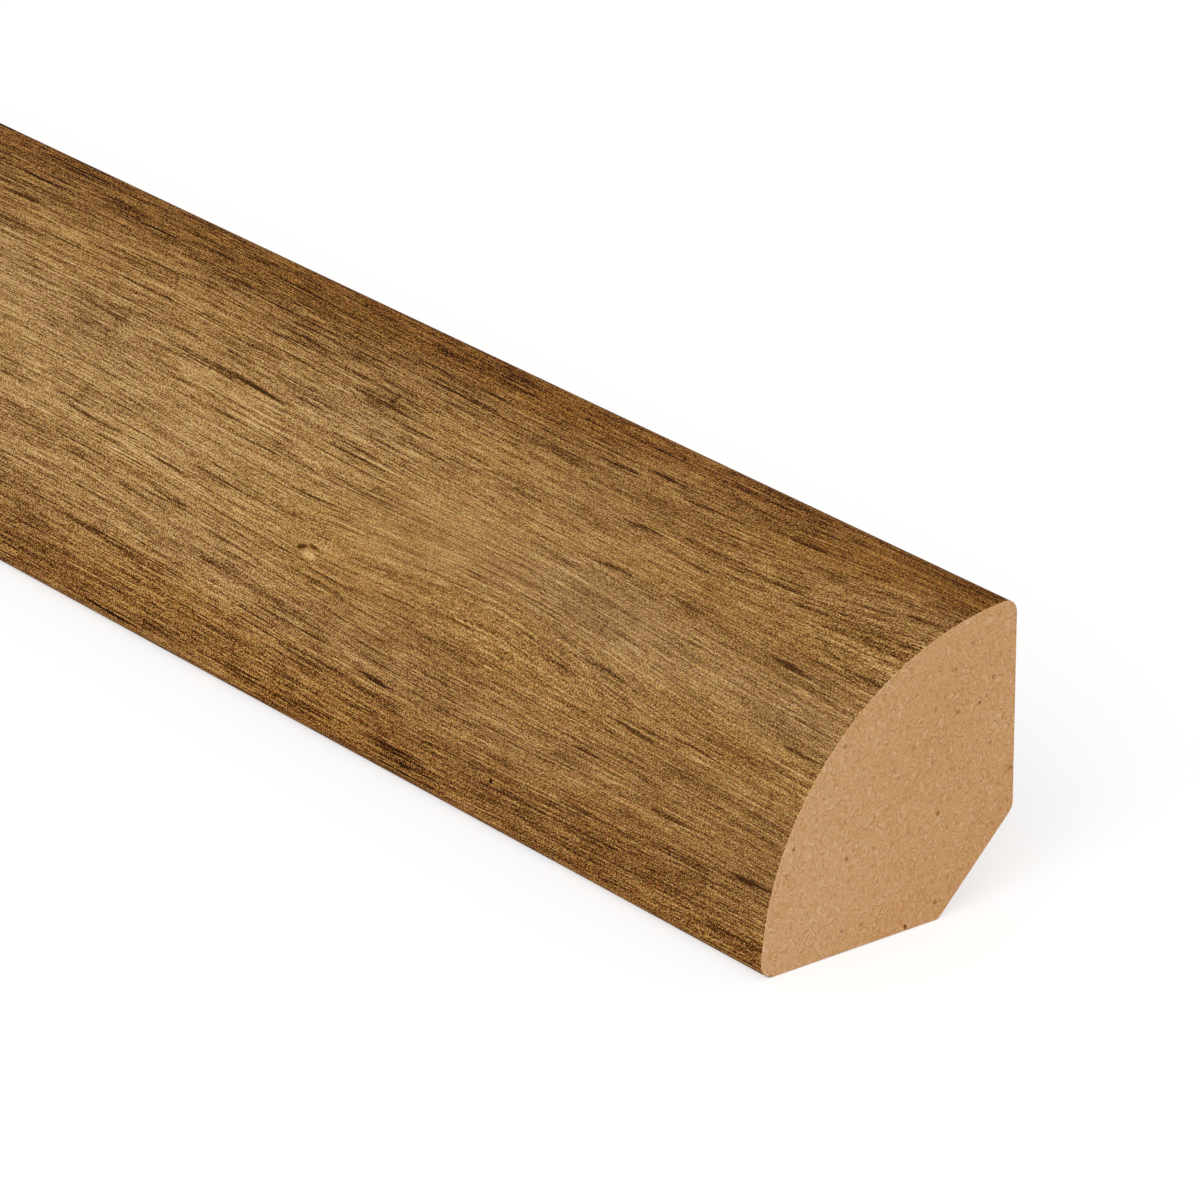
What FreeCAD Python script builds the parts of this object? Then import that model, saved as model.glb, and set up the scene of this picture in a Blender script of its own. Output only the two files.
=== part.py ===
"""Quarter round moulding: one square-cut length of fibreboard trim, in millimetres.

The moulding lies as it is fitted at the foot of a wall. Its length runs along X, its floor face is
down and its wall face is upright on the +Y side. The origin is in the middle of its underside.
"""

import FreeCAD, Part
import os

import Sketcher
from FreeCAD import Vector

# Driving dimensions: name, millimetres, what it is
SIZES = [
    ("stock_length", 2387.6, "length that the stock is sold in, 94 in"),
    ("leg", 19.05, "radius of the round face, and so its height and its width, 3/4 in"),
    ("heel_relief", 5.63, "each leg of the 45 degree cut that clears the corner of floor and wall"),
    ("round_edge_radius", 0.9, "rounding of the nose and the toe, the long edges of the round face"),
    ("relief_top_radius", 1.0, "rounding between the relief and the wall face"),
    ("relief_foot_radius", 0.3, "rounding between the relief and the floor face"),
]
OUTPUT_FOLDER = "parts"
BODY_LABEL = "quarter_round_moulding"

# Sketch geometry numbers that every sketch has, and the three kinds of point on an edge
X_AXIS = -1
START, END, CENTRE = 1, 2, 3


def fill_sheet(doc):
    """The spreadsheet that every size is read from."""
    sheet = doc.addObject("Spreadsheet::Sheet", "Sizes")
    for row, (alias, value, note) in enumerate(SIZES, start=1):
        sheet.set(f"A{row}", alias)
        sheet.set(f"B{row}", str(value))
        sheet.set(f"C{row}", note)
        sheet.setAlias(f"B{row}", alias)
    doc.recompute()
    return sheet


def origin_plane(body, role):
    """The body's own datum plane of that role."""
    return next(plane for plane in body.Origin.OriginFeatures if plane.Role == role)


def draw_section(body, sheet):
    """The section before its edges are eased. Sketch x is across, from toe to wall, and y is up."""
    section = body.newObject("Sketcher::SketchObject", "Section")
    section.AttachmentSupport = (origin_plane(body, "YZ_Plane"), "")
    section.MapMode = "FlatFace"

    toe = Vector(-sheet.leg / 2, 0)
    heel = Vector(sheet.leg / 2, 0)
    nose = heel + Vector(0, sheet.leg)
    relief_foot = heel - Vector(sheet.heel_relief, 0)
    relief_top = heel + Vector(0, sheet.heel_relief)
    halfway_round = heel + Vector(-sheet.leg, sheet.leg) / 2**0.5

    floor_face = section.addGeometry(Part.LineSegment(toe, relief_foot))
    relief_face = section.addGeometry(Part.LineSegment(relief_foot, relief_top))
    wall_face = section.addGeometry(Part.LineSegment(relief_top, nose))
    round_face = section.addGeometry(Part.Arc(nose, halfway_round, toe))

    section.addConstraint([
        Sketcher.Constraint("Coincident", floor_face, END, relief_face, START),
        Sketcher.Constraint("Coincident", relief_face, END, wall_face, START),
        Sketcher.Constraint("Coincident", wall_face, END, round_face, START),
        Sketcher.Constraint("Coincident", round_face, END, floor_face, START),
        Sketcher.Constraint("Horizontal", floor_face),
        Sketcher.Constraint("Vertical", wall_face),
        Sketcher.Constraint("PointOnObject", round_face, CENTRE, X_AXIS),
        Sketcher.Constraint("PointOnObject", round_face, CENTRE, floor_face),
        Sketcher.Constraint("PointOnObject", round_face, CENTRE, wall_face),
    ])

    driven = [
        ("round_radius", "Sizes.leg", Sketcher.Constraint("Radius", round_face, sheet.leg)),
        ("heel_place", "Sizes.leg / 2",
         Sketcher.Constraint("DistanceX", round_face, CENTRE, heel.x)),
        ("relief_across", "Sizes.heel_relief",
         Sketcher.Constraint("DistanceX", floor_face, END, round_face, CENTRE, sheet.heel_relief)),
        ("relief_up", "Sizes.heel_relief",
         Sketcher.Constraint("DistanceY", round_face, CENTRE, wall_face, START, sheet.heel_relief)),
    ]
    for name, expression, constraint in driven:
        section.renameConstraint(section.addConstraint(constraint), name)
        section.setExpression(f"Constraints.{name}", expression)
    doc.recompute()
    return section


def run_out_stock(body, section):
    """The section run out to the stock length, half to each side of the origin."""
    stock = body.newObject("PartDesign::Pad", "Stock")
    stock.Profile = section
    stock.SideType = "Symmetric"
    stock.setExpression("Length", "Sizes.stock_length")
    doc.recompute()
    return stock


def long_edge(shape, across, up):
    """Name of the edge along the length that passes nearest to this point of the section."""
    distances = {
        f"Edge{number}": edge.CenterOfMass.distanceToPoint(Vector(0, across, up))
        for number, edge in enumerate(shape.Edges, start=1)
    }
    return min(distances, key=distances.get)


def ease_edge(body, base, name, radius_alias, across, up):
    """Rounds one long edge to its radius in the sheet."""
    eased = body.newObject("PartDesign::Fillet", name)
    eased.Base = (base, [long_edge(base.Shape, across, up)])
    eased.setExpression("Radius", f"Sizes.{radius_alias}")
    doc.recompute()
    if eased.Shape.Volume >= base.Shape.Volume:
        raise RuntimeError(f"{name} took nothing off its edge")
    return eased


def make_moulding(sheet):
    """The one solid: the stock with its four long edges eased, each at its place in the section."""
    body = doc.addObject("PartDesign::Body", "Moulding")
    body.Label = BODY_LABEL
    stock = run_out_stock(body, draw_section(body, sheet))

    heel = sheet.leg / 2
    nose = ease_edge(body, stock, "Nose", "round_edge_radius", heel, sheet.leg)
    toe = ease_edge(body, nose, "Toe", "round_edge_radius", -sheet.leg / 2, 0)
    relief_top = ease_edge(body, toe, "ReliefTop", "relief_top_radius", heel, sheet.heel_relief)
    ease_edge(body, relief_top, "ReliefFoot", "relief_foot_radius", heel - sheet.heel_relief, 0)
    return body


def check_document():
    """A recompute can leave an object failed without raising, so every state is read."""
    failed = [item.Name for item in doc.Objects if {"Invalid", "Error"} & set(item.State)]
    if failed:
        raise RuntimeError(f"failed to recompute: {failed}")


def write_step(sub_part):
    """Writes a sub-part's solid under its label, once it is known to be one valid solid."""
    shape = sub_part.Shape
    if shape.isNull() or not shape.isValid() or len(shape.Solids) != 1:
        raise RuntimeError(f"{sub_part.Label} is not one valid solid")
    os.makedirs(OUTPUT_FOLDER, exist_ok=True)
    shape.exportStep(os.path.join(OUTPUT_FOLDER, f"{sub_part.Label}.step"))
    box = shape.BoundBox
    print(f"{sub_part.Label}: {box.XLength:.3f} x {box.YLength:.3f} x {box.ZLength:.3f} mm, "
          f"{shape.Volume / 1000:.3f} cm3")


doc = FreeCAD.newDocument("quarter_round")
moulding = make_moulding(fill_sheet(doc))
doc.recompute()
check_document()
write_step(moulding)
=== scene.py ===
"""Quarter round moulding: a fibreboard stock with a printed oak decor on its round face, in metres."""

import math

import bmesh
import bpy
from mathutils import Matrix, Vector


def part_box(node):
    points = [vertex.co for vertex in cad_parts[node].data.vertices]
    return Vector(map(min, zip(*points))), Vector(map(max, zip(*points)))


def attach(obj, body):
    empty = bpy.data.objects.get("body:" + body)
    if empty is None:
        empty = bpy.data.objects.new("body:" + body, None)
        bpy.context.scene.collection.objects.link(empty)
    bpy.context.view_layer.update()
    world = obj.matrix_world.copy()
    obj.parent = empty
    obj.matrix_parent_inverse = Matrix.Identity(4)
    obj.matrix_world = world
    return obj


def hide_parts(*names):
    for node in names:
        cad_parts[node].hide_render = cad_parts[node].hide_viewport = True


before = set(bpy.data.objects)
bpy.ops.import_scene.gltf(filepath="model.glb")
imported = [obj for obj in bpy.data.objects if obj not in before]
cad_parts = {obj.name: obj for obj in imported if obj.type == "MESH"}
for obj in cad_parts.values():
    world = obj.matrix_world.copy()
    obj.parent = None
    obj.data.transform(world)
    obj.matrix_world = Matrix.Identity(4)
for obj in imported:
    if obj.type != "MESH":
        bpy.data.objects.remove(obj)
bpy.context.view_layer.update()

MM = 0.001
MOULDING_NODE = "quarter_round_moulding"
STOCK_LOW, STOCK_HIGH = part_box(MOULDING_NODE)
STOCK_LENGTH = STOCK_HIGH.x - STOCK_LOW.x

# Section sizes, as the solid has them
LEG = 19.05 * MM
HEEL_RELIEF = 5.63 * MM
ROUND_EDGE_RADIUS = 0.9 * MM
RELIEF_TOP_RADIUS = 1.0 * MM
RELIEF_FOOT_RADIUS = 0.3 * MM
HEEL = Vector((0, LEG / 2, 0))
EIGHTH_TURN = math.radians(45)
QUARTER_TURN = math.radians(90)

# The rounding of the toe sits in the corner between the floor and the round face.
# Its centre is this far from the heel along the floor, and this angle up from it.
EDGE_REACH = math.sqrt((LEG - ROUND_EDGE_RADIUS) ** 2 - ROUND_EDGE_RADIUS**2)
EDGE_LIFT = math.asin(ROUND_EDGE_RADIUS / (LEG - ROUND_EDGE_RADIUS))

# Facets and cuts of the visual mesh
ROUND_FACETS = 56
EDGE_FACETS = 12
RELIEF_FACETS = 8
LENGTH_PARTS = 24
SAW_ARRIS = 0.03 * MM
SAME_PLACE = 0.001 * MM
SHARP_ANGLE = math.radians(35)
LEAST_CUT_LEAN = 0.2

# Bake map: the length is folded into rows, with a band for the decor and one for the bare board.
# The two sawn ends lie side by side above the rows.
MAP_ROWS = 4
MAP_MARGIN = 0.006
DECOR_BAND = 0.145
BOARD_BAND = 0.05
END_SQUARE = 0.15
ROW_LENGTH = STOCK_LENGTH / MAP_ROWS
ROW_HEIGHT = DECOR_BAND + BOARD_BAND + 2 * MAP_MARGIN
SECTION_MIDDLE = HEEL + Vector((0, -LEG / 4, LEG / 4))

# The photograph's camera: held upright, with its axis on the picture's middle
CAMERA_LENS = 236.5
CAMERA_AZIMUTH = math.radians(51.8)
CAMERA_ELEVATION = math.radians(23.24)
HEEL_SEEN_RIGHT = 24.25 * MM
HEEL_SEEN_BELOW = 17.33 * MM
HEEL_SEEN_AHEAD = 465.2 * MM

# Light: the tent as things are lit by it and as it is seen, and the lamp in front
TENT_LIGHT = 0.6
TENT_SEEN = 1.0
LAMP_STRENGTH = 1.45
LAMP_SPREAD = math.radians(50)
LAMP_SIDE = Vector((0.42, -0.7, 0.58))

# Floor: just below the moulding, and white both as it lights things and as it is seen
FLOOR_SIZE = 120
FLOOR_DROP = 0.05 * MM
FLOOR_WHITE = 0.88
FLOOR_WHITE_SEEN = 0.48
FLOOR_GLOW_SEEN = 0.62

# Each seed moves a pattern by this many cells, to a spot of its own
SEED_STEP = (7.31, 3.17, 5.53)

# The decor's grain, in millimetres from the sawn end and round from the toe.
# It rises slowly along the length and waves: length and width of a wave, how far it lifts, seed.
GRAIN_RISE = 0.014
GRAIN_WAVES = [
    ((80, 22, 1), 3.0, 1),
    ((9, 3, 1), 0.2, 2),
]

# It swells near the sawn end: middle, length and width, how far it lifts
GRAIN_SWELLS = [
    ((-8, 24.5), (64, 14), 2.4),
    ((-10, 2.5), (104, 18), 2.4),
    ((31, 13.5), (46, 9), 1.2),
]

# The decor's middle tone, and the layers of grain on it, from slow tones to fine fibres.
# A layer has the length and width of its patches, its strength and its seed.
DECOR_TONE = 0.555
SLOW_TONES = [
    ((40, 6, 1), 0.13, 3),
    ((20, 1.8, 1), 0.16, 4),
]
FIBRES = [
    ((16, 0.6, 1), 0.16, 5),
    ((8, 0.2, 1), 0.25, 6),
    ((5, 0.1, 1), 0.52, 8),
    ((1.1, 0.06, 1), 0.52, 7),
    ((0.12, 0.07, 1), 1.4, 9),
]

# The decor darkens and gains contrast by the square of the way from the middle of the round face,
# in millimetres round from the toe. The darkening, more at the nose, is painted shade where the round face
# turns from the light.
ROUND_MIDDLE = 14.5
ROUND_HALF = 12.0
MOST_EDGE = 1.5
EDGE_CONTRAST = 0.32
EDGE_PAINTED_SHADE = 0.39
NOSE_PAINTED_SHADE = 0.2

# Colours from the darkest to the lightest tone
OAK_TONES = [
    (0.0, (67, 43, 20)),
    (0.25, (114, 78, 42)),
    (0.5, (157, 116, 68)),
    (0.75, (186, 147, 94)),
    (1.0, (213, 180, 128)),
]
BOARD_TONES = [
    (0.0, (170, 105, 30)),
    (0.5, (208, 162, 113)),
    (1.0, (234, 202, 174)),
]
BARK = (112, 52, 6)

# Fibreboard, in millimetres: fine felt, curly strands, bits of bark and slow clouds; the clouds' seed is
# picked so that the sawn end in view is lighter towards the toe and the bottom, as painted light
SAWN_TONE = 0.45
MILLED_TONE = 0.42
FELT_SIZE = 0.1
STRAND_CURL = 0.8
STRAND_TURNS = 36.0
BUNDLE_SIZE = 0.4
BARK_SPACING = 1.4
CLOUD_SIZE = 16

# Marks that stand out near the sawn end: middle, length and width, tilt in degrees, how much darker
TONE_ZONES = [
    ((2, 11.5), (110, 17), 0, 0.13),
    ((62, 26.5), (64, 8), 0, 0.1),
    ((76, 2.2), (20, 5), 0, 0.09),
    ((64, 13), (56, 13), 0, -0.03),
    ((12, 18.6), (36, 5.5), 0, 0.14),
    ((36, 6.4), (44, 6), 0, 0.09),
    ((19, 3.4), (34, 5.5), 0, 0.13),
    ((6, 12.6), (26, 5.5), 0, 0.09),
    ((66, 24.4), (40, 5.5), 0, 0.1),
    ((25, 15.5), (12, 13), 0, 0.07),
    ((56, 21.6), (38, 5.5), 0, 0.07),
    ((36, 24.6), (13, 4.5), 0, 0.11),
    ((36, 2), (13, 4.5), 0, 0.15),
    ((36, 9.4), (12, 5), 0, 0.11),
    ((78, 17.5), (20, 9), 0, 0.08),
]
DARK_STREAKS = [
    ((19.3, 28.0), (3.6, 0.5), 0, 0.3),
    ((22.6, 28.0), (3.6, 0.6), 0, 0.36),
    ((12.2, 27.9), (3.6, 0.4), -3, 0.22),
    ((1.0, 26.5), (5.0, 0.6), 0, 0.26),
    ((31.2, 25.1), (5.2, 0.5), -2, 0.5),
    ((27.6, 25.9), (4.8, 0.45), 0, 0.5),
    ((23.1, 25.0), (5.2, 0.45), -2, 0.42),
    ((14.4, 25.9), (7.4, 0.5), -2, 0.38),
    ((8.3, 25.9), (3.4, 0.5), -4, 0.34),
    ((5.5, 25.2), (3.8, 0.4), -8, 0.4),
    ((2.1, 24.5), (4.6, 0.4), -6, 0.34),
    ((24.8, 21.7), (5.6, 0.5), 0, 0.42),
    ((18.8, 22.4), (9.0, 0.4), -1, 0.28),
    ((12.0, 22.3), (3.4, 0.4), -5, 0.26),
    ((9.3, 21.7), (4.2, 0.35), -6, 0.26),
    ((6.2, 21.1), (4.4, 0.35), -4, 0.3),
    ((3.1, 21.6), (4.0, 0.4), -3, 0.26),
    ((0.8, 22.3), (3.0, 0.4), -3, 0.26),
    ((5.1, 19.6), (4.2, 0.3), 1, 0.22),
    ((16.8, 18.4), (5.6, 0.5), 3, 0.2),
    ((24.0, 18.4), (4.4, 0.5), 0, 0.3),
    ((6.9, 17.8), (5.0, 0.5), 2, 0.32),
    ((27.4, 17.4), (5.0, 0.4), 2, 0.2),
    ((14.4, 16.4), (5.4, 0.4), 3, 0.28),
    ((27.4, 14.4), (8.0, 0.25), 1, 0.2),
    ((1.9, 13.4), (4.6, 0.4), 0, 0.36),
    ((19.7, 12.6), (5.8, 0.45), 2, 0.3),
    ((23.2, 11.6), (5.4, 0.35), 2, 0.28),
    ((9.7, 10.9), (5.2, 0.3), 1, 0.3),
    ((15.3, 10.2), (6.4, 0.35), 2, 0.34),
    ((3.4, 8.1), (7.0, 0.25), 0, 0.22),
    ((12.1, 7.9), (4.0, 0.35), 0, 0.3),
    ((18.2, 7.8), (3.6, 0.35), 0, 0.4),
    ((9.5, 6.6), (5.6, 0.4), -1, 0.38),
    ((1.9, 5.4), (5.6, 0.45), -2, 0.44),
    ((8.4, 4.8), (11.0, 0.6), -2, 0.26),
    ((17.2, 4.4), (6.4, 0.4), -1, 0.36),
    ((24.5, 3.3), (3.4, 0.22), 0, 0.34),
    ((4.2, 1.8), (8.4, 0.5), -2, 0.34),
    ((17.6, 1.8), (8.0, 0.6), -1, 0.2),
    ((19.4, 1.0), (7.4, 0.4), -1, 0.26),
    ((13.7, 1.1), (3.6, 0.4), -4, 0.24),
    ((31.0, 2.3), (8.6, 0.3), 0, 0.32),
    ((38.5, 5.6), (6.4, 0.32), 1, 0.6),
    ((63.1, 18.6), (19.0, 0.32), 1, 0.5),
    ((63.9, 11.6), (5.2, 0.28), 2, 0.38),
    ((61.7, 9.8), (6.4, 0.34), 1, 0.5),
    ((53.4, 15.5), (6.5, 0.8), 4, 0.2),
]
LIGHT_STREAKS = [
    ((52.2, 15.9), (4.6, 0.3), 3, -0.3),
    ((38.5, 5.15), (7.0, 0.3), 1, -0.2),
    ((35.0, 18.9), (4.4, 0.25), 0, -0.22),
]
CROSS_FLECKS = [
    ((75.6, 18.6), (1.6, 4.6), 0, 0.14),
    ((74.2, 13.1), (1.2, 5.4), 14, 0.16),
    ((56.2, 26.8), (0.6, 2.6), 0, 0.2),
    ((50.2, 22.2), (0.9, 1.8), -12, 0.34),
    ((21.6, 14.9), (0.5, 2.2), 8, 0.14),
    ((21.5, 21.0), (0.7, 1.8), 6, 0.14),
    ((2.6, 10.3), (0.6, 2.0), -25, 0.16),
]
KNOTS = [
    ((48.6, 10.92), (1.2, 0.4), -17, 0.6),
    ((47.6, 11.18), (1.5, 0.28), 4, 0.55),
    ((47.7, 10.62), (1.9, 0.7), 0, -0.42),
    ((25.95, 3.3), (0.42, 0.42), 0, 0.95),
]

# Where the fibres show less: middle, length and width, how much less
CALM_PATCHES = [
    ((41, 12), (26, 20), 0.25),
]


def select_edges(wanted):
    """In edit mode, selects only the edges for which wanted is true."""
    bpy.ops.mesh.select_mode(type="EDGE")
    bpy.ops.mesh.select_all(action="DESELECT")
    mesh = bpy.context.object.data
    shell = bmesh.from_edit_mesh(mesh)
    for edge in shell.edges:
        if wanted(edge):
            edge.select_set(True)
    bmesh.update_edit_mesh(mesh)


def middle_of(edge):
    return (edge.verts[0].co + edge.verts[1].co) / 2


def runs_lengthwise(edge):
    return abs(edge.verts[0].co.x - edge.verts[1].co.x) > SAME_PLACE


def lies_on_end(edge, end):
    return all(abs(vert.co.x - end) < SAME_PLACE for vert in edge.verts)


def turn_on(steps, across, up, angle):
    """Sweeps the selected edge on round the section, about a line along the length."""
    bpy.ops.mesh.spin(steps=steps, angle=angle, center=(0, across, up), axis=(1, 0, 0))


def draw_on(across, up):
    """Draws the selected edge straight on over a flat of the section."""
    bpy.ops.mesh.extrude_region_move(TRANSFORM_OT_translate={"value": (0, across, up)})


def lay_floor_face():
    """The flat that the moulding stands on, from the toe's rounding to the relief's."""
    front = HEEL.y - EDGE_REACH
    back = HEEL.y - HEEL_RELIEF - RELIEF_FOOT_RADIUS * math.tan(EIGHTH_TURN / 2)
    bpy.ops.object.select_all(action="DESELECT")
    bpy.ops.mesh.primitive_plane_add(size=1, location=(0, (front + back) / 2, 0))
    moulding = bpy.context.object
    moulding.name = "moulding"
    bpy.ops.transform.resize(value=(STOCK_LENGTH, back - front, 1))
    bpy.ops.object.transform_apply(location=True, rotation=True, scale=True)
    return moulding, front


def sweep_section(front):
    """Carries the floor face's front edge up the toe, over the round face and down the wall to the heel."""
    select_edges(lambda edge: runs_lengthwise(edge) and abs(middle_of(edge).y - front) < SAME_PLACE)
    turn_on(EDGE_FACETS, front, ROUND_EDGE_RADIUS, QUARTER_TURN + EDGE_LIFT)
    turn_on(ROUND_FACETS, HEEL.y, 0, QUARTER_TURN - 2 * EDGE_LIFT)
    turn_on(EDGE_FACETS, HEEL.y - ROUND_EDGE_RADIUS, EDGE_REACH, QUARTER_TURN + EDGE_LIFT)

    top_straight = RELIEF_TOP_RADIUS * math.tan(EIGHTH_TURN / 2)
    foot_straight = RELIEF_FOOT_RADIUS * math.tan(EIGHTH_TURN / 2)
    relief_top = HEEL_RELIEF + top_straight
    draw_on(0, relief_top - EDGE_REACH)
    turn_on(RELIEF_FACETS, HEEL.y - RELIEF_TOP_RADIUS, relief_top, EIGHTH_TURN)
    relief_fall = HEEL_RELIEF - (top_straight + foot_straight) * math.cos(EIGHTH_TURN)
    draw_on(-relief_fall, -relief_fall)
    relief_foot = HEEL.y - HEEL_RELIEF - foot_straight
    turn_on(RELIEF_FACETS, relief_foot, RELIEF_FOOT_RADIUS, EIGHTH_TURN)
    bpy.ops.mesh.select_all(action="SELECT")
    bpy.ops.mesh.remove_doubles(threshold=SAME_PLACE)


def saw_ends():
    """Closes both ends with a square cut and breaks the saw's sharp arris."""
    ends = (STOCK_LOW.x, STOCK_HIGH.x)
    for end in ends:
        select_edges(lambda edge: lies_on_end(edge, end))
        bpy.ops.mesh.edge_face_add()
    select_edges(lambda edge: any(lies_on_end(edge, end) for end in ends))
    bpy.ops.mesh.bevel(offset=SAW_ARRIS, segments=1, affect="EDGES", clamp_overlap=False)


def model_moulding():
    """The whole moulding as one closed shell, with flats that shade flat."""
    moulding, front = lay_floor_face()
    bpy.ops.object.mode_set(mode="EDIT")
    sweep_section(front)
    select_edges(runs_lengthwise)
    bpy.ops.mesh.subdivide(number_cuts=LENGTH_PARTS - 1)
    saw_ends()
    bpy.ops.mesh.select_all(action="SELECT")
    bpy.ops.mesh.normals_make_consistent(inside=False)
    bpy.ops.object.mode_set(mode="OBJECT")
    bpy.ops.object.shade_smooth_by_angle(angle=SHARP_ANGLE)
    flats = moulding.modifiers.new("flats", "WEIGHTED_NORMAL")
    flats.keep_sharp = True
    bpy.ops.object.modifier_apply(modifier=flats.name)
    return moulding


def is_cut(face):
    """True for a sawn end and its arris."""
    return abs(face.normal.x) > LEAST_CUT_LEAN


def is_decorated(face):
    """True for the round face with its nose and toe, which the decor foil wraps."""
    place = face.center - HEEL
    return not is_cut(face) and math.hypot(place.y, place.z) > EDGE_REACH


def dress_moulding(moulding, decor, sawn, milled):
    """Gives each face its finish."""
    for finish in (decor, sawn, milled):
        moulding.data.materials.append(finish)
    for face in moulding.data.polygons:
        face.material_index = 0 if is_decorated(face) else 1 if is_cut(face) else 2


def angle_round_section(across, up):
    """Angle of a place on the section's outline, as seen from the middle of the section."""
    return math.atan2(up - SECTION_MIDDLE.z, across - SECTION_MIDDLE.y)


def end_on_map(place, nth_end):
    """Place on the map of a point of a sawn end."""
    left = MAP_MARGIN + nth_end * (END_SQUARE + MAP_MARGIN)
    bottom = MAP_ROWS * ROW_HEIGHT + MAP_MARGIN
    return left + (place.y - STOCK_LOW.y) / LEG * END_SQUARE, bottom + place.z / LEG * END_SQUARE


def length_on_map(place, row, decorated):
    """Place on the map of a point of a long face, in its row and in the decor's band or the board's."""
    toe_angle = angle_round_section(HEEL.y - EDGE_REACH, 0)
    nose_angle = angle_round_section(HEEL.y, EDGE_REACH)
    angle = angle_round_section(place.y, place.z)
    along = (place.x - STOCK_LOW.x) / ROW_LENGTH - row
    if decorated:
        bottom = row * ROW_HEIGHT + MAP_MARGIN
        up_band = (angle % math.tau - nose_angle) / (toe_angle % math.tau - nose_angle) * DECOR_BAND
    else:
        bottom = row * ROW_HEIGHT + DECOR_BAND + 2 * MAP_MARGIN
        up_band = (angle - toe_angle) / (nose_angle - toe_angle) * BOARD_BAND
    return MAP_MARGIN + along * (1 - 2 * MAP_MARGIN), bottom + up_band


def lay_bake_map(moulding):
    """A map with room for the grain: rows of length, with the two ends side by side above them."""
    bake_map = moulding.data.uv_layers.new(name="OFBake")
    for face in moulding.data.polygons:
        row = min(int((face.center.x - STOCK_LOW.x) / ROW_LENGTH), MAP_ROWS - 1)
        for corner in face.loop_indices:
            place = moulding.data.vertices[moulding.data.loops[corner].vertex_index].co
            if is_cut(face):
                spot = end_on_map(place, nth_end=0 if face.center.x > 0 else 1)
            else:
                spot = length_on_map(place, row, is_decorated(face))
            bake_map.data[corner].uv = spot


def srgb(red, green, blue):
    """A colour named by its 0 to 255 screen values, as the linear colour that a shader takes."""
    def linear(level):
        level /= 255
        return level / 12.92 if level <= 0.04045 else ((level + 0.055) / 1.055) ** 2.4
    return (linear(red), linear(green), linear(blue), 1.0)


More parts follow.
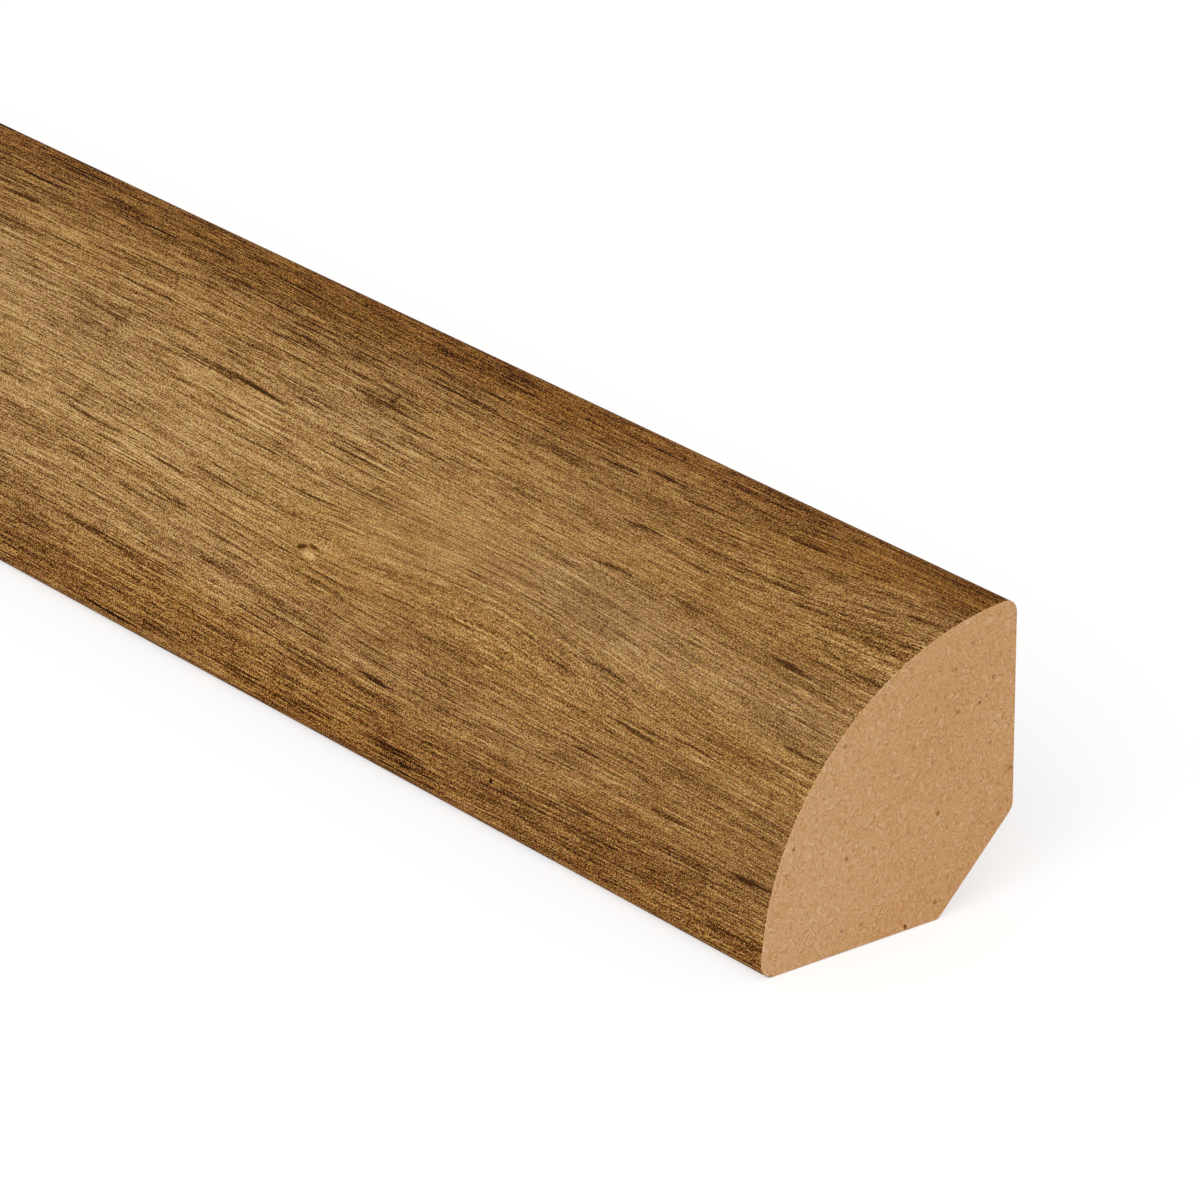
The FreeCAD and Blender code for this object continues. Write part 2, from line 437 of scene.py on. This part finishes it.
class Wiring:
    """A node tree while it is wired up, with methods that add nodes and hand back what they give."""

    def __init__(self, tree):
        self.tree = tree

    def feed(self, socket, value):
        if isinstance(value, bpy.types.NodeSocket):
            self.tree.links.new(value, socket)
        else:
            socket.default_value = value

    def node(self, kind, inputs=(), **settings):
        made = self.tree.nodes.new(kind)
        for setting, value in settings.items():
            setattr(made, setting, value)
        for socket, value in dict(inputs).items():
            self.feed(made.inputs[socket], value)
        return made

    def math(self, operation, *values):
        return self.node("ShaderNodeMath", enumerate(values), operation=operation).outputs[0]

    def vector_math(self, operation, *values):
        return self.node("ShaderNodeVectorMath", enumerate(values), operation=operation).outputs

    def rise(self, value, low, high, top=1.0):
        """Nothing up to low, then a smooth rise to top at high."""
        reach = {"Value": value, "From Min": low, "From Max": high, "To Min": 0.0, "To Max": top}
        return self.node("ShaderNodeMapRange", reach, interpolation_type="SMOOTHSTEP").outputs[0]

    def between(self, share, low, high):
        """From low, where the share is nought, to high, where it is one."""
        return self.math("MULTIPLY_ADD", share, high - low, low)

    def sway(self, value, noise, amount):
        """The value moved up and down by a noise about its middle."""
        return self.math("MULTIPLY_ADD", self.math("SUBTRACT", noise, 0.5), amount, value)

    def spread_out(self, place, spread, seed):
        """The place in cells as long in each direction as spread, moved to a spot of its own by the seed."""
        return self.node("ShaderNodeMapping", {
            "Vector": place,
            "Location": tuple(seed * step for step in SEED_STEP),
            "Scale": tuple(1 / size for size in spread),
        }).outputs[0]

    def noise(self, place, spread, seed, detail=0.0, roughness=0.5, distortion=0.0, gives="Fac"):
        """Noise with patches about as long in each direction as spread."""
        return self.node("ShaderNodeTexNoise", {
            "Vector": self.spread_out(place, spread, seed),
            "Scale": 1.0,
            "Detail": detail,
            "Roughness": roughness,
            "Distortion": distortion,
        }).outputs[gives]

    def tint(self, colour, place, spread, seed, amounts):
        """The colour with its red, green and blue each moved up and down a little by a noise of its own."""
        stray = self.noise(place, spread, seed, gives="Color")
        lowest = tuple(1 - amount / 2 for amount in amounts)
        share = self.vector_math("MULTIPLY_ADD", stray, amounts, lowest)[0]
        return self.vector_math("MULTIPLY", colour, share)[0]

    def lens(self, place, middle, size, tilt=0.0, core=0.0):
        """One inside an ellipse out to its core, falling off smoothly to nothing at its rim."""
        inside = self.node("ShaderNodeMapping", {
            "Vector": place,
            "Location": (*middle, 0),
            "Rotation": (0, 0, math.radians(tilt)),
            "Scale": (size[0] / 2, size[1] / 2, 1),
        }, vector_type="TEXTURE").outputs[0]
        distance = self.vector_math("LENGTH", inside)["Value"]
        return self.rise(distance, 1.0, core)

    def spindle(self, place, along, middle, size, tilt, core=0.2):
        """Like a lens, but long and thin, and drawn out to a point at both ends."""
        half_length, half_width = size[0] / 2, size[1] / 2
        lean = math.tan(math.radians(tilt))
        across = self.vector_math("DOT_PRODUCT", place, (-lean / half_width, 1 / half_width, 0))["Value"]
        middle_line = (middle[1] - lean * middle[0]) / half_width
        off_line = self.math("ABSOLUTE", self.math("SUBTRACT", across, middle_line))
        off_middle = self.math("MULTIPLY_ADD", along, 1 / half_length, -middle[0] / half_length)
        return self.rise(self.math("MULTIPLY_ADD", off_middle, off_middle, off_line), 1.0, core)

    def dashes(self, place, spread, seed, share, reach=0.28):
        """Dashes of many lengths and depths, one to a cell of that spread, in that share of the cells."""
        laid = self.spread_out(place, (*spread, 1), seed)
        cells = self.node("ShaderNodeTexVoronoi", {"Vector": laid, "Scale": 1.0}, voronoi_dimensions="2D")
        lot = self.node("ShaderNodeSeparateColor", {0: cells.outputs["Color"]}).outputs
        chosen = self.math("LESS_THAN", lot[0], share)
        rim = self.math("MULTIPLY", self.between(lot[1], 0.4, 1.2), reach)
        body = self.rise(cells.outputs["Distance"], rim, self.math("MULTIPLY", rim, 0.45))
        return self.math("MULTIPLY", self.math("MULTIPLY", chosen, body), self.between(lot[2], 0.3, 1.0))

    def ramp(self, value, tones):
        """The colour for a value from nought to one, from a list of places and screen colours."""
        made = self.node("ShaderNodeValToRGB", {"Fac": value})
        band = made.color_ramp.elements
        stops = [(position, srgb(*colour)) for position, colour in tones]
        band[0].position, band[0].color = stops[0]
        band[1].position, band[1].color = stops[-1]
        for position, colour in stops[1:-1]:
            band.new(position).color = colour
        return made.outputs["Color"]

    def mix(self, share, first, second):
        """The first colour, going over to the second where the share is one."""
        colours = {"Factor": share, 6: first, 7: second}
        return self.node("ShaderNodeMix", colours, data_type="RGBA").outputs[2]


class Finish(Wiring):
    """A material while it is wired up."""

    def __init__(self, name):
        self.material = bpy.data.materials.new(name)
        self.material.use_nodes = True
        self.shader = self.material.node_tree.nodes["Principled BSDF"]
        super().__init__(self.material.node_tree)

    def surface(self, colour, roughness, height, relief, gloss):
        """Joins the shader up: its colour, its roughness, a relief of that depth, and how glossy it is."""
        bump = self.node("ShaderNodeBump", {"Height": height, "Strength": 1.0, "Distance": relief})
        self.feed(self.shader.inputs["Base Color"], colour)
        self.feed(self.shader.inputs["Roughness"], roughness)
        self.feed(self.shader.inputs["Normal"], bump.outputs[0])
        self.shader.inputs["Specular IOR Level"].default_value = gloss
        return self.material


def unrolled(finish):
    """The round face laid flat: millimetres from the sawn end in view, and round from the toe.

    Over the nose and the toe, where the foil turns in towards the heel, the way in counts as way round.
    """
    place = finish.node("ShaderNodeTexCoord").outputs["Object"]
    parts = finish.node("ShaderNodeSeparateXYZ", {0: place}).outputs
    along = finish.math("MULTIPLY", finish.math("SUBTRACT", STOCK_HIGH.x, parts["X"]), 1 / MM)
    forward = finish.math("SUBTRACT", HEEL.y, parts["Y"])
    angle = finish.math("ARCTAN2", parts["Z"], forward)
    spoke = finish.node("ShaderNodeCombineXYZ", {1: forward, 2: parts["Z"]}).outputs[0]
    reach = finish.vector_math("LENGTH", spoke)["Value"]
    nose_or_toe = finish.math("SIGN", finish.math("SUBTRACT", angle, EIGHTH_TURN))
    turned_in = finish.math("MULTIPLY", finish.math("SUBTRACT", LEG, reach), nose_or_toe)
    around = finish.math("MULTIPLY_ADD", angle, LEG, turned_in)
    return along, finish.math("MULTIPLY", around, 1 / MM)


def follow_grain(finish, along, around):
    """The flat place, and the same with the grain's rise, waves and swells taken out to run level."""
    flat = finish.node("ShaderNodeCombineXYZ", {0: along, 1: around}).outputs[0]
    level = finish.math("MULTIPLY_ADD", along, -GRAIN_RISE, around)
    for spread, lift, seed in GRAIN_WAVES:
        level = finish.sway(level, finish.noise(flat, spread, seed, detail=1), lift)
    for middle, size, lift in GRAIN_SWELLS:
        level = finish.math("MULTIPLY_ADD", finish.lens(flat, middle, size), -lift, level)
    return flat, finish.node("ShaderNodeCombineXYZ", {0: along, 1: level}).outputs[0]


def fray(finish, place, spread, amount, seed):
    """The place shifted a little across the grain, so that what is drawn on it gets ragged edges."""
    shift = finish.math("SUBTRACT", finish.noise(place, spread, seed, detail=2, roughness=0.6), 0.5)
    across = finish.node("ShaderNodeCombineXYZ", {1: finish.math("MULTIPLY", shift, amount)}).outputs[0]
    return finish.vector_math("ADD", place, across)[0]


def fibre_tone(finish, grain, figure, along):
    """Fibres, thin light and dark lines and pores, and the fine relief that they leave."""
    tone = 0.0
    for spread, amount, seed in FIBRES:
        fibre = finish.noise(grain, spread, seed)
        tone = finish.sway(tone, fibre, amount)

    hairs = finish.rise(finish.noise(grain, (6, 0.13, 1), seed=10), low=0.6, high=0.78, top=0.3)
    glints = finish.rise(finish.noise(grain, (4.5, 0.12, 1), seed=11), low=0.58, high=0.78, top=0.22)
    ragged = fray(finish, grain, (2.5, 0.4, 1), amount=0.2, seed=20)
    thin_share = finish.rise(figure, low=0.3, high=0.6, top=0.5)
    thin = finish.dashes(ragged, (15, 0.42), seed=13, share=thin_share)
    broad_share = finish.rise(figure, low=0.65, high=0.35, top=0.35)
    broad = finish.dashes(ragged, (12, 0.8), seed=14, share=broad_share)
    dark = finish.math("MULTIPLY_ADD", thin, 0.38, finish.math("MULTIPLY_ADD", broad, 0.24, hairs))
    plenty = finish.between(finish.rise(along, low=24.0, high=48.0), 0.5, 1.0)
    tone = finish.math("SUBTRACT", tone, finish.math("MULTIPLY", dark, plenty))
    return finish.math("ADD", tone, glints), finish.math("SUBTRACT", fibre, hairs)


def fibre_contrast(finish, flat, along, edge):
    """How strongly the fibres show: less near the sawn end and in calm patches, more towards the edges."""
    contrast = finish.between(finish.rise(along, low=28.0, high=54.0), 0.9, 1.12)
    contrast = finish.math("MULTIPLY_ADD", edge, EDGE_CONTRAST, contrast)
    for middle, size, depth in CALM_PATCHES:
        contrast = finish.math("MULTIPLY_ADD", finish.lens(flat, middle, size), -depth, contrast)
    return contrast


def placed_marks(finish, flat, along, tone):
    """The tone with the zones, streaks, flecks and knots that stand out near the sawn end."""
    ragged = fray(finish, flat, (2.0, 0.4, 1), amount=0.35, seed=21)
    for middle, size, tilt, depth in TONE_ZONES + CROSS_FLECKS:
        tone = finish.math("MULTIPLY_ADD", finish.lens(flat, middle, size, tilt), -depth, tone)
    for middle, size, tilt, depth in DARK_STREAKS + LIGHT_STREAKS:
        tone = finish.math("MULTIPLY_ADD", finish.spindle(ragged, along, middle, size, tilt), -depth, tone)
    for middle, size, tilt, depth in KNOTS:
        tone = finish.math("MULTIPLY_ADD", finish.lens(flat, middle, size, tilt, core=0.4), -depth, tone)
    return tone


def oak_decor():
    """Printed oak: slow tones, streaks, fibres and pores that follow a gently waving grain, with painted
    shade towards the nose and the toe.
    """
    finish = Finish("oak_decor")
    along, around = unrolled(finish)
    flat, grain = follow_grain(finish, along, around)
    figure = finish.noise(grain, (34, 7, 1), seed=12, detail=1)

    tone = DECOR_TONE
    for spread, amount, seed in SLOW_TONES:
        tone = finish.sway(tone, finish.noise(grain, spread, seed), amount)
    off_middle = finish.math("DIVIDE", finish.math("SUBTRACT", around, ROUND_MIDDLE), ROUND_HALF)
    edge = finish.math("MINIMUM", finish.math("POWER", off_middle, 2.0), MOST_EDGE)
    fibres, relief = fibre_tone(finish, grain, figure, along)
    tone = finish.math("MULTIPLY_ADD", fibres, fibre_contrast(finish, flat, along, edge), tone)
    tone = placed_marks(finish, flat, along, tone)

    colour = finish.ramp(tone, OAK_TONES)
    colour = finish.tint(colour, flat, (0.12, 0.1, 1), seed=15, amounts=(0.5, 0.5, 1.5))
    golden = finish.sway(1.005, finish.noise(grain, (18, 4, 1), seed=18), 0.1)
    colour = finish.node("ShaderNodeHueSaturation", {"Color": colour, "Saturation": golden}).outputs[0]
    # Painted shade: a gamma darkens the colour towards the nose and the toe, and more at the nose
    painted_edge_shade = finish.math("MULTIPLY_ADD", edge, EDGE_PAINTED_SHADE, 1.0)
    painted_edge_shade = finish.math("ADD", painted_edge_shade, finish.rise(around, low=24.0, high=29.0, top=NOSE_PAINTED_SHADE))
    colour = finish.node("ShaderNodeGamma", {"Color": colour, "Gamma": painted_edge_shade}).outputs[0]
    roughness = finish.sway(0.56, figure, 0.2)
    return finish.surface(colour, roughness, height=relief, relief=0.012 * MM, gloss=0.015)


def board_place(finish):
    """Object coordinates in millimetres."""
    place = finish.node("ShaderNodeTexCoord").outputs["Object"]
    return finish.node("ShaderNodeVectorMath", {0: place, "Scale": 1 / MM}, operation="SCALE").outputs[0]


def strands(finish, place):
    """Curly fibres, pale and dark side by side in small bundles that are broken into short lengths."""
    winding = finish.noise(place, (STRAND_CURL,) * 3, seed=3, detail=1, distortion=0.3)
    side_by_side = finish.math("SINE", finish.math("MULTIPLY", winding, STRAND_TURNS))
    whole = finish.rise(finish.noise(place, (BUNDLE_SIZE,) * 3, seed=4), low=0.4, high=0.62)
    return finish.math("MULTIPLY", side_by_side, whole)


def specks(finish, place):
    """Bits of bark, most of them faint and a few of them dark."""
    cells = finish.node("ShaderNodeTexVoronoi", {"Vector": place, "Scale": 1 / BARK_SPACING})
    lot = finish.node("ShaderNodeSeparateColor", {0: cells.outputs["Color"]}).outputs
    rough_edge = finish.noise(place, (0.2,) * 3, seed=8, detail=2)
    ragged = finish.sway(cells.outputs["Distance"], rough_edge, 0.2)
    rim = finish.between(lot[0], 0.06, 0.14)
    speck = finish.rise(ragged, rim, finish.math("MULTIPLY", rim, 0.8))
    depth = finish.between(finish.math("POWER", lot[1], 2.0), 0.2, 0.9)
    return finish.math("MULTIPLY", speck, depth)


def board_colour(finish, place, tone):
    """Fibreboard: a felt of pale and dark fibres with a few dark specks, and the relief that they leave."""
    felt = finish.noise(place, (FELT_SIZE,) * 3, seed=1)
    # Slow clouds of the board's own tone, with the seed picked so that the sawn end in view is lighter
    # towards the toe and the bottom: painted light
    cloud_and_painted_light = finish.noise(place, (CLOUD_SIZE,) * 3, seed=45, detail=1)
    fibres = strands(finish, place)
    tone = finish.sway(finish.sway(tone, felt, 0.52), cloud_and_painted_light, 0.3)
    tone = finish.math("MULTIPLY_ADD", fibres, 0.14, tone)
    colour = finish.ramp(tone, BOARD_TONES)
    colour = finish.tint(colour, place, (0.16,) * 3, seed=7, amounts=(0.12, 0.12, 0.45))
    colour = finish.mix(specks(finish, place), colour, srgb(*BARK))
    return colour, finish.math("MULTIPLY_ADD", felt, 0.8, fibres)


def sawn_board():
    """Fibreboard as a fine saw leaves it."""
    finish = Finish("sawn_fibreboard")
    colour, felt = board_colour(finish, board_place(finish), SAWN_TONE)
    roughness = finish.sway(0.85, felt, 0.1)
    return finish.surface(colour, roughness, height=felt, relief=0.014 * MM, gloss=0.2)


def milled_board():
    """Fibreboard as the moulder's knives leave it, with faint lines along the length."""
    finish = Finish("milled_fibreboard")
    place = board_place(finish)
    lines = finish.noise(place, (90, 0.35, 0.35), seed=9, detail=2)
    colour, felt = board_colour(finish, place, finish.sway(MILLED_TONE, lines, 0.3))
    roughness = finish.sway(0.8, felt, 0.2)
    height = finish.sway(felt, lines, 0.8)
    return finish.surface(colour, roughness, height, relief=0.015 * MM, gloss=0.2)


def seen_directly(finish):
    """One for the camera, for reflections and through glass, and nothing for light that falls on things."""
    path = finish.node("ShaderNodeLightPath").outputs
    either = finish.math("MAXIMUM", path["Is Camera Ray"], path["Is Glossy Ray"])
    return finish.math("MAXIMUM", either, path["Is Transmission Ray"])


def lay_floor():
    """A wide white floor that keeps the shadow, and shows as white to the camera and in reflections."""
    bpy.ops.object.select_all(action="DESELECT")
    bpy.ops.mesh.primitive_plane_add(size=FLOOR_SIZE, location=(0, 0, -FLOOR_DROP))
    floor = bpy.context.object
    floor.name = "floor"
    paint = Finish("floor_white")
    seen = seen_directly(paint)
    paint.feed(paint.shader.inputs["Base Color"], paint.between(seen, FLOOR_WHITE, FLOOR_WHITE_SEEN))
    paint.shader.inputs["Roughness"].default_value = 1.0
    paint.shader.inputs["Specular IOR Level"].default_value = 0.0
    paint.shader.inputs["Emission Color"].default_value = (1, 1, 1, 1)
    paint.feed(paint.shader.inputs["Emission Strength"], paint.math("MULTIPLY", seen, FLOOR_GLOW_SEEN))
    floor.data.materials.append(paint.material)


def light_studio():
    """A bright tent all round, and one broad soft lamp in front of the round face."""
    world = bpy.data.worlds.new("studio")
    world.use_nodes = True
    bpy.context.scene.world = world
    tent = Wiring(world.node_tree)
    background = world.node_tree.nodes["Background"]
    background.inputs["Color"].default_value = (1, 1, 1, 1)
    tent.feed(background.inputs["Strength"], tent.between(seen_directly(tent), TENT_LIGHT, TENT_SEEN))

    lamp = bpy.data.lights.new("soft_lamp", "SUN")
    lamp.energy = LAMP_STRENGTH
    lamp.angle = LAMP_SPREAD
    holder = bpy.data.objects.new("soft_lamp", lamp)
    holder.rotation_euler = LAMP_SIDE.to_track_quat("Z", "Y").to_euler()
    bpy.context.scene.collection.objects.link(holder)


def stand_camera():
    """Stands the camera where the photograph was taken from, by where it sees the sawn end's heel."""
    camera = bpy.data.objects.new("camera", bpy.data.cameras.new("camera"))
    bpy.context.scene.collection.objects.link(camera)
    bpy.context.scene.camera = camera
    camera.data.lens = CAMERA_LENS
    camera.rotation_euler = (QUARTER_TURN - CAMERA_ELEVATION, 0, CAMERA_AZIMUTH)
    seen = Vector((HEEL_SEEN_RIGHT, -HEEL_SEEN_BELOW, -HEEL_SEEN_AHEAD))
    heel_of_end = Vector((STOCK_HIGH.x, HEEL.y, HEEL.z))
    camera.location = heel_of_end - camera.rotation_euler.to_matrix() @ seen


moulding = model_moulding()
dress_moulding(moulding, oak_decor(), sawn_board(), milled_board())
lay_bake_map(moulding)
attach(moulding, "root")
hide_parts(MOULDING_NODE)

lay_floor()
light_studio()
stand_camera()
bpy.context.scene.view_settings.view_transform = "Standard"
